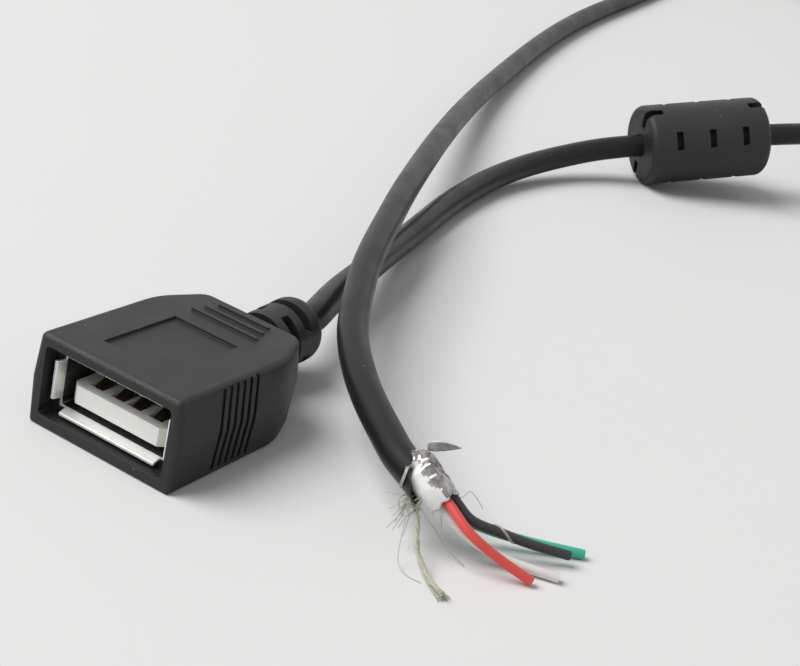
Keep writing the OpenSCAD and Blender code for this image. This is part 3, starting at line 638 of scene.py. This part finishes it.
def beside(points, i, across, above):
    _, side, up = axes_at(points, i)
    return points[i] + across * side + above * up


wire_lines = {}
for colour, (across, above, way) in WIRE_WAYS.items():
    start = [beside(CORE_WAY, i, across * BUNDLE, above * BUNDLE) for i in range(len(CORE_WAY))]
    wire_lines[colour] = in_metres(smooth_line(start + [Vector(p) for p in way], WIRE_STEPS))
print("points on the wires", {colour: len(line) for colour, line in wire_lines.items()})

# %% [markdown]
# Each wire's end is a plain cut with the copper in its middle. The open tube is closed with a face at
# either end. The face at the free end is inset and pushed in a little, so that the conductor stands in a
# shallow rim.

# %% Close the ends of a wire
def closed_end(work, tip, reach):
    rim = [e for e in work.edges if e.is_boundary and (e.verts[0].co - tip).length < reach]
    return bmesh.ops.contextual_create(work, geom=rim)["faces"][0]


def wire_ends(mesh, line, wall, depth):
    work = bmesh.new()
    work.from_mesh(mesh)
    closed_end(work, line[0], WIRE_D * MM)
    end = closed_end(work, line[-1], WIRE_D * MM)
    bmesh.ops.recalc_face_normals(work, faces=work.faces)
    push_in(work, end, wall, depth * MM * (line[-2] - line[-1]).normalized())
    bmesh.ops.recalc_face_normals(work, faces=work.faces)
    work.to_mesh(mesh)
    work.free()


# %% [markdown]
# The four insulations are pieces of their own, because their colours differ. The conductors in them are
# all copper, so they are four tubes in one piece.

# %% Coloured wires and their conductors
CONDUCTOR_D = 0.4
RIM_PLAY = 0.03
END_DEPTH = 0.08
WIRE_ROUNDNESS = 6
FINE_ROUNDNESS = 2
for colour, line in wire_lines.items():
    mesh = tube_mesh("insulation_" + colour, [line], WIRE_D / 2, WIRE_ROUNDNESS, caps=False)
    wire_ends(mesh, line, (WIRE_D - CONDUCTOR_D) / 2 - RIM_PLAY, END_DEPTH)
    shade(mesh)
    piece = place_piece("insulation_" + colour, mesh, "wire_" + colour, "wire_" + colour)
    wear(piece, wire_finish[colour])
conductor_mesh = tube_mesh("conductors", list(wire_lines.values()), CONDUCTOR_D / 2, FINE_ROUNDNESS)
conductors = wear(place_piece("conductors", conductor_mesh, "copper", "wire_conductors"), copper_bare)

# %% [markdown]
# The foil is a thin tube of aluminium on white film, squeezed and torn when the jacket was pulled off. It
# starts as a tube whose radius changes along its line. Its folds come from a noise whose sign is dropped,
# because that gives ridges with a sharp crest. The film is calmer than the bare metal, and the edge
# between them wanders.

# %% Folds of the foil
LONG_FOLD = 0.5
FOLDS_ROUND = 2.4
FOLDS_ALONG = 0.5
SMALL_FOLD = 0.2
SMALL_FOLD_SIZE = 0.4
FOLD_MIDDLE = 0.15
FILM_FROM = math.radians(-140)
FILM_TO = math.radians(50)
FILM_WANDER = 0.35
WANDER_RATE = 1.4


def fold(place, size, seed):
    value = noise.noise(place / size + Vector((seed, 2 * seed, 3 * seed)))
    return 0.5 - abs(value)


def crumple_at(place, angle, along):
    long_fold = LONG_FOLD * fold(Vector((FOLDS_ROUND * angle, FOLDS_ALONG * along, 0)), 1, seed=3)
    return long_fold + SMALL_FOLD * fold(place, SMALL_FOLD_SIZE, seed=5) - FOLD_MIDDLE


def is_film(angle, along):
    wander = FILM_WANDER * noise.noise(Vector((WANDER_RATE * along, 0, 0.5)))
    return FILM_FROM < angle < FILM_TO + wander


print("a sample of the crumple", round(crumple_at(CUT, 0, 0), 3))

# %% [markdown]
# Every point of the tube is then moved: outwards by its folds, by a belly in the film and by a seam that
# stands off as a fin, and along the line at the torn end. The film shows on the half that faces the
# camera, and the bare metal on the other. A face counts as film only if all its points do.

# %% Foil tube
FOIL_INSIDE = 2.6
FOIL_WAY = [CUT - FOIL_INSIDE * CUT_DIR] + CORE_WAY[1:]
FOIL_SWELL = [1.2, 1.3, 1.38, 1.38, 1.32, 1.16]
FOIL_STEPS = 9
FOIL_STEP_LENGTH = 0.16
FOIL_ROUNDNESS = 20
FILM_BELLY = [0, 0, 0.1, 0.9, 0.8, 0.2]
BELLY_WIDTH = math.radians(60)
FILM_CALM = 0.25
FIN_AT = math.radians(68)
FIN_WIDTH = math.radians(11)
FIN_HEIGHT = 0.45
TORN_BY = 0.4
TORN_LATE = 5
TORN_RATE = 2.2


def swell_at(t, values):
    k = min(int(t), len(values) - 2)
    return values[k] + (values[k + 1] - values[k]) * (t - k)


def bump_round(angle, middle, width):
    return math.exp(-((angle - middle) / width) ** 2)


def moved_foil(place):
    i = min(range(len(foil_line)), key=lambda k: (foil_line[k] - place).length)
    ahead, side, up = axes_at(foil_line, i)
    out = place - foil_line[i]
    angle = math.atan2(out.dot(up), out.dot(side))
    share = i / (len(foil_line) - 1)
    along = i * FOIL_STEP_LENGTH
    film = is_film(angle, along)
    fin = FIN_HEIGHT * share * bump_round(angle, FIN_AT, FIN_WIDTH)
    crumple = (FILM_CALM if film else 1) * crumple_at(place, angle, along)
    belly = swell_at(i / FOIL_STEPS, FILM_BELLY) * bump_round(angle, 0, BELLY_WIDTH)
    torn = share ** TORN_LATE * TORN_BY * noise.noise(Vector((TORN_RATE * angle, 1.7, 0.4)))
    return out.normalized() * (fin + crumple + belly) + ahead * torn, film


foil_line = smooth_line(FOIL_WAY, FOIL_STEPS)
foil_radii = [swell_at(i / FOIL_STEPS, FOIL_SWELL) for i in range(len(foil_line))]
foil_mesh = tube_mesh("foil", [in_metres(foil_line)], 1, FOIL_ROUNDNESS, caps=False, swell=foil_radii)
foil_work = bmesh.new()
foil_work.from_mesh(foil_mesh)
on_film = {}
for vert in foil_work.verts:
    move, on_film[vert.index] = moved_foil(vert.co / MM)
    vert.co += move * MM
for face in foil_work.faces:
    face.material_index = 1 if all(on_film[v.index] for v in face.verts) else 0
print("foil tube faces", len(foil_work.faces))

# %% [markdown]
# A torn leaf stands off the top of the foil. It is a small grid, bent along a line of its own and curled
# across it, and it belongs to the same mesh, as the leaf is the same sheet. A Solidify modifier then
# gives tube and leaf their thickness.

# %% Foil leaf
LEAF_WAY = [(25.5, -0.9, 7.2), (25.05, -0.6, 8.1), (25.8, -0.43, 8.5), (26.5, -0.1, 8.7), (27.2, 0.1, 8.85),
            (27.85, 0.3, 9.0)]
LEAF_WIDTH = [0.7, 1.0, 1.25, 1.1, 0.6, 0.06]
LEAF_STEPS = 6
LEAF_ROWS = 5
LEAF_HALF = 0.5
LEAF_ACROSS = Vector((0.05, -0.25, 0.95))
LEAF_CURL = 0.25
LEAF_FOLD = 0.07
FOIL_SHARP = math.radians(50)
FOIL_THICKNESS = 0.04
leaf_line = smooth_line(LEAF_WAY, LEAF_STEPS)
leaf = bmesh.ops.create_grid(foil_work, x_segments=len(leaf_line) - 1, y_segments=LEAF_ROWS, size=LEAF_HALF)
for face in {f for v in leaf["verts"] for f in v.link_faces}:
    face.material_index = 2
for vert in leaf["verts"]:
    i = round((vert.co.x + LEAF_HALF) * (len(leaf_line) - 1))
    across = vert.co.y * swell_at(i / LEAF_STEPS, LEAF_WIDTH)
    folded = LEAF_FOLD * fold(leaf_line[i] + Vector((0, across, 0)), 0.5, seed=9)
    curl = LEAF_CURL * across * across + folded
    vert.co = (leaf_line[i] + across * LEAF_ACROSS - Vector((0, curl, 0))) * MM
foil_work.to_mesh(foil_mesh)
foil_work.free()
shade(foil_mesh, FOIL_SHARP)
foil = wear(place_piece("foil", foil_mesh, "foil", "foil_wrap"), foil_bare_painted_crease_shade, film_white, leaf_bare)
sheet = foil.modifiers.new("sheet", "SOLIDIFY")
sheet.thickness = FOIL_THICKNESS * MM
sheet.offset = 0
print("foil faces", len(foil_mesh.polygons))

# %% [markdown]
# The screen is a braid of fine tinned wires. Most of it is twisted into a pigtail whose end frays. Each
# strand of it is a line wound round the pigtail's own line, on one of three rings, and near the tip the
# strands spread, each by its own share. The chance behind those shares is seeded, so every run gives the
# same strands.

# %% Twisted pigtail
chance = random.Random(11)
STRAND_R = 0.06
STRAND_LIFT = 0.02
PIGTAIL_WAY = [(26, -2.75, 5.1), (26.5, -3.2, 4.7), (27.1, -4, 3.75), (28, -4.97, 2.75), (28.8, -5.8, 1.7),
               (30.3, -6.85, 0.85), (32.1, -7.9, 0.43), (33.6, -8.6, 0.4)]
PIGTAIL_STEPS = 9
PIGTAIL_STRANDS = 13
PIGTAIL_R = 0.18
PIGTAIL_TURNS = 3.2
RING_SHARES = [0.75, 1.0, 1.25]
FRAY_FROM = 0.84
FRAY_TURNS_TO = 0.04
FRAY_WIDE = (0.7, 3.4)
STRAND_DRIFT = 0.12


def twisted(line, count, radius, turns):
    strands = []
    for k in range(count):
        wide = chance.uniform(*FRAY_WIDE)
        drift = chance.uniform(-STRAND_DRIFT, STRAND_DRIFT)
        ring = RING_SHARES[k % len(RING_SHARES)]
        strand = []
        for i, place in enumerate(line):
            share = i / (len(line) - 1)
            loose = max(0, share - FRAY_FROM) / (1 - FRAY_FROM)
            _, side, up = axes_at(line, i)
            angle = 2 * math.pi * (k / count + drift + turns * min(share, FRAY_FROM + FRAY_TURNS_TO))
            spot = place + radius * (1 + (wide - 1) * loose) * ring * spoke(side, up, angle)
            strand.append(Vector((spot.x, spot.y, max(spot.z, STRAND_R + STRAND_LIFT))))
        strands.append(in_metres(strand))
    return strands


pigtail_line = smooth_line(PIGTAIL_WAY, PIGTAIL_STEPS)
pigtail_strands = twisted(pigtail_line, PIGTAIL_STRANDS, PIGTAIL_R, PIGTAIL_TURNS)
pigtail_mesh = tube_mesh("pigtail", pigtail_strands, STRAND_R, FINE_ROUNDNESS)
pigtail = wear(place_piece("pigtail", pigtail_mesh, "tinned_strands", "drain_pigtail"), strand_tinned)
print("pigtail strands", len(pigtail_strands))

# %% [markdown]
# The strands that weren't twisted in stand off as single hairs. A fan of them hangs from the lower side
# of the cut, one long one reaches the table, one curls over the black wire, and two short ones hang under
# the foil. Their lines are given by a few points each, and the fan's roots and bends vary by chance.

# %% Loose hairs of the screen
HAIR_R = 0.032
HAIR_STEPS = 7
HAIR_ROUNDNESS = 1
FAN_AHEAD = 2.2
FAN_OUT = 1.5
FAN_ROOT = CUT + FAN_AHEAD * CUT_DIR + FAN_OUT * LOWER_SIDE
FAN_TIPS = [(25.05, -5.14, 3.5), (25.36, -4.78, 2.8), (25.09, -4.92, 1.5), (25.47, -4.59, 1.2),
            (26.03, -4.65, 1.8), (26.46, -4.31, 1.0), (24.42, -5.48, 5.0), (25.7, -4.9, 2.3)]
FAN_SPREAD = ((-0.35, 0.1), (-0.05, 0.3), (-0.3, 0.2))
BEND_X = (0.05, 0.35)
BEND_Y = -0.15
BEND_Z = (0.05, 0.4)


def somewhere(x, y, z):
    return Vector((chance.uniform(*x), chance.uniform(*y), chance.uniform(*z)))


hair_ways = [
    [FAN_ROOT, (27.01, -5.62, 3.0), (27.6, -6.7, 1.6), (28.22, -7.45, 0.5), (29.32, -7.84, 0.1),
     (30.92, -7.86, 0.07)],
    [(28.2, -1.4, 5.5), (28.94, -1.18, 5.3), (29.29, -0.56, 5.0), (29.35, 1.04, 5.0), (29.85, 1.49, 4.4),
     (30.59, 1.7, 3.6)],
    [(26.8, -2.2, 4.7), (27.62, -1.63, 3.8), (27.7, -2.12, 3.0)],
    [(27.0, -2.2, 4.5), (28.04, -1.4, 3.2), (29.3, -2.75, 2.0)],
]
for tip in FAN_TIPS:
    root = FAN_ROOT + somewhere(*FAN_SPREAD)
    bend = Vector((chance.uniform(*BEND_X), BEND_Y, chance.uniform(*BEND_Z)))
    hair_ways.append([root, root.lerp(Vector(tip), 0.5) + bend, tip])
hair_lines = [in_metres(smooth_line(way, HAIR_STEPS)) for way in hair_ways]
hair_mesh = tube_mesh("screen_hairs", hair_lines, HAIR_R, HAIR_ROUNDNESS)
hairs = wear(place_piece("screen_hairs", hair_mesh, "tinned_strands", "shield_strands"), strand_dull)
print("hairs", len(hair_lines))

# %% [markdown]
# Paler strands lie in a wisp round the end of the jacket. The wisp's points are given on the jacket
# itself, by a distance along it, an angle round it and a radius, so that it lies on the surface from
# every side.

# %% Wisp round the jacket
WISP_STRANDS = 4
WISP_STEPS = 6
WISP_BACK = 0.2
WISP_APART = 0.13
WISP_LAYER = 0.02
WISP_WANDER = 4
WISP_TURNS = [(0.1, 66, 1.25), (0.55, 46, 1.56), (0.95, 28, 1.66), (1.1, 8, 1.67), (0.95, -16, 1.67),
              (0.7, -30, 1.67)]


def on_jacket(ahead, degrees, radius):
    return CUT + ahead * CUT_DIR + radius * spoke(CUT_SIDE, CUT_UP, math.radians(degrees))


wisp_lines = []
for k in range(WISP_STRANDS):
    way = []
    for ahead, degrees, radius in WISP_TURNS[:len(WISP_TURNS) - k % 2]:
        wander = chance.uniform(-WISP_WANDER, WISP_WANDER)
        way.append(on_jacket(ahead + WISP_APART * k - WISP_BACK, degrees + wander, radius + WISP_LAYER * k))
    wisp_lines.append(in_metres(smooth_line(way, WISP_STEPS)))
print("wisp strands", len(wisp_lines))

# %% [markdown]
# A tangle of strands is left of the braid at the pigtail's root. Each is a short bent line from one small
# box of space to another below it, because nothing in a tangle repeats.

# %% Tangle at the pigtail's root
TANGLE_STRANDS = 26
TANGLE_FROM = ((25.6, 27.0), (-3.5, -2.7), (3.9, 5.4))
TANGLE_TO = ((25.6, 27.0), (-4.7, -3.8), (3.0, 4.5))
TANGLE_BEND = ((-0.5, 0.5), (-0.5, 0.1), (-0.3, 0.4))
TANGLE_BENT_AT = (0.35, 0.65)
for k in range(TANGLE_STRANDS):
    start = somewhere(*TANGLE_FROM)
    end = somewhere(*TANGLE_TO)
    middle = start.lerp(end, chance.uniform(*TANGLE_BENT_AT))
    middle += somewhere(*TANGLE_BEND)
    wisp_lines.append(in_metres(smooth_line([start, middle, end], HAIR_STEPS)))
print("with the tangle", len(wisp_lines))

# %% [markdown]
# A few shreds are wound round the black wire, on spokes of its own line, and one thread hangs down to the
# table. With the wisp and the tangle they are one piece, which stands for no solid.

# %% Shreds, thread and the whole wisp
SHRED_FROM = 54
SHRED_POINTS = 7
SHRED_STRANDS = 3
SHRED_STEPS = 4
SHRED_START = 120
SHRED_TURN = 32
SHRED_GAP = 0.03
SHRED_APART = Vector((0.08, 0.06, 0))
THREAD_WAY = [(26.9, -3.6, 4.2), (28.1, -3.8, 3.5), (28.72, -3.03, 2.4), (29.98, -2.61, 1.0),
              (32.09, -2.55, 0.1)]
WISP_R = 0.045
black_line = wire_lines["black"]
shred_way = []
for k in range(SHRED_POINTS):
    _, side, up = axes_at(black_line, SHRED_FROM + k)
    out = spoke(side, up, math.radians(SHRED_START - SHRED_TURN * k))
    shred_way.append(black_line[SHRED_FROM + k] / MM + (WIRE_D / 2 + SHRED_GAP) * out)
for k in range(SHRED_STRANDS):
    wisp_lines.append(in_metres(smooth_line([p + k * SHRED_APART for p in shred_way], SHRED_STEPS)))
wisp_lines.append(in_metres(smooth_line(THREAD_WAY, HAIR_STEPS)))
wisp_mesh = tube_mesh("screen_wisp", wisp_lines, WISP_R, HAIR_ROUNDNESS)
wisp = wear(place_piece("screen_wisp", wisp_mesh, "tinned_strands"), strand_tinned)
print("lines in the wisp", len(wisp_lines))

# %% [markdown]
# The floor is a plain pale sheet that keeps the shadows. It lies 0.02 mm below the pieces that rest on
# it, so that no face of theirs lies in the same plane.

# %% Floor
FLOOR_HALF = 4
FLOOR_DROP = 0.00002
floor_mesh = bpy.data.meshes.new("floor")
floor_work = bmesh.new()
bmesh.ops.create_grid(floor_work, x_segments=1, y_segments=1, size=FLOOR_HALF)
bmesh.ops.translate(floor_work, verts=floor_work.verts, vec=(0, 0, -FLOOR_DROP))
floor_work.to_mesh(floor_mesh)
floor_work.free()
floor = bpy.data.objects.new("floor", floor_mesh)
scene.collection.objects.link(floor)
floor_white = finish("floor_white", (0.8, 0.8, 0.795), (0.795, 0.795, 0.79), rough=0.7, bump=0.0,
                     Slow_scale=40.0)
wear(floor, floor_white)
print("floor", [round(x, 2) for x in floor.dimensions])

# %% [markdown]
# The world fills the shadows at a low level. For camera, mirror and glass rays it is a plain pale
# background instead, so that metal and gloss reflect a bright room without more light falling on the
# object.

# %% World
WORLD_TINT = (1, 1, 0.995, 1)
FILL_LEVEL = 0.3
PALE_LEVEL = 0.9
world = bpy.data.worlds.new("studio")
scene.world = world
world.use_nodes = True
tree = world.node_tree
fill = tree.nodes["Background"]
fill.inputs["Color"].default_value = WORLD_TINT
fill.inputs["Strength"].default_value = FILL_LEVEL
pale = add(tree, "ShaderNodeBackground", Color=WORLD_TINT, Strength=PALE_LEVEL)
ray = add(tree, "ShaderNodeLightPath")
direct = add(tree, "ShaderNodeMath", {0: ray.outputs["Is Camera Ray"], 1: ray.outputs["Is Glossy Ray"]},
             operation="MAXIMUM")
plain = add(tree, "ShaderNodeMath", {0: direct.outputs[0], 1: ray.outputs["Is Transmission Ray"]},
            operation="MAXIMUM")
sky = add(tree, "ShaderNodeMixShader", {0: plain.outputs[0], 1: fill.outputs[0], 2: pale.outputs[0]})
tree.links.new(sky.outputs[0], tree.nodes["World Output"].inputs["Surface"])
print("world", world.name, "fill", FILL_LEVEL)

# %% [markdown]
# One big soft lamp hangs over the left and a little in front, as a window or a softbox does. Its size is
# what makes the shadows' edges soft.

# %% Lamp
def lamp(name, place, target, size, power):
    data = bpy.data.lights.new(name, "AREA")
    data.shape = "DISK"
    data.size = size
    data.energy = power
    holder = bpy.data.objects.new(name, data)
    towards = (Vector(target) - Vector(place)).to_track_quat("-Z", "Y")
    holder.matrix_world = Matrix.Translation(place) @ towards.to_matrix().to_4x4()
    scene.collection.objects.link(holder)


lamp("over_left", place=(-0.8, -0.62, 1.35), target=(0, 0.05, 0), size=1.3, power=27.5)
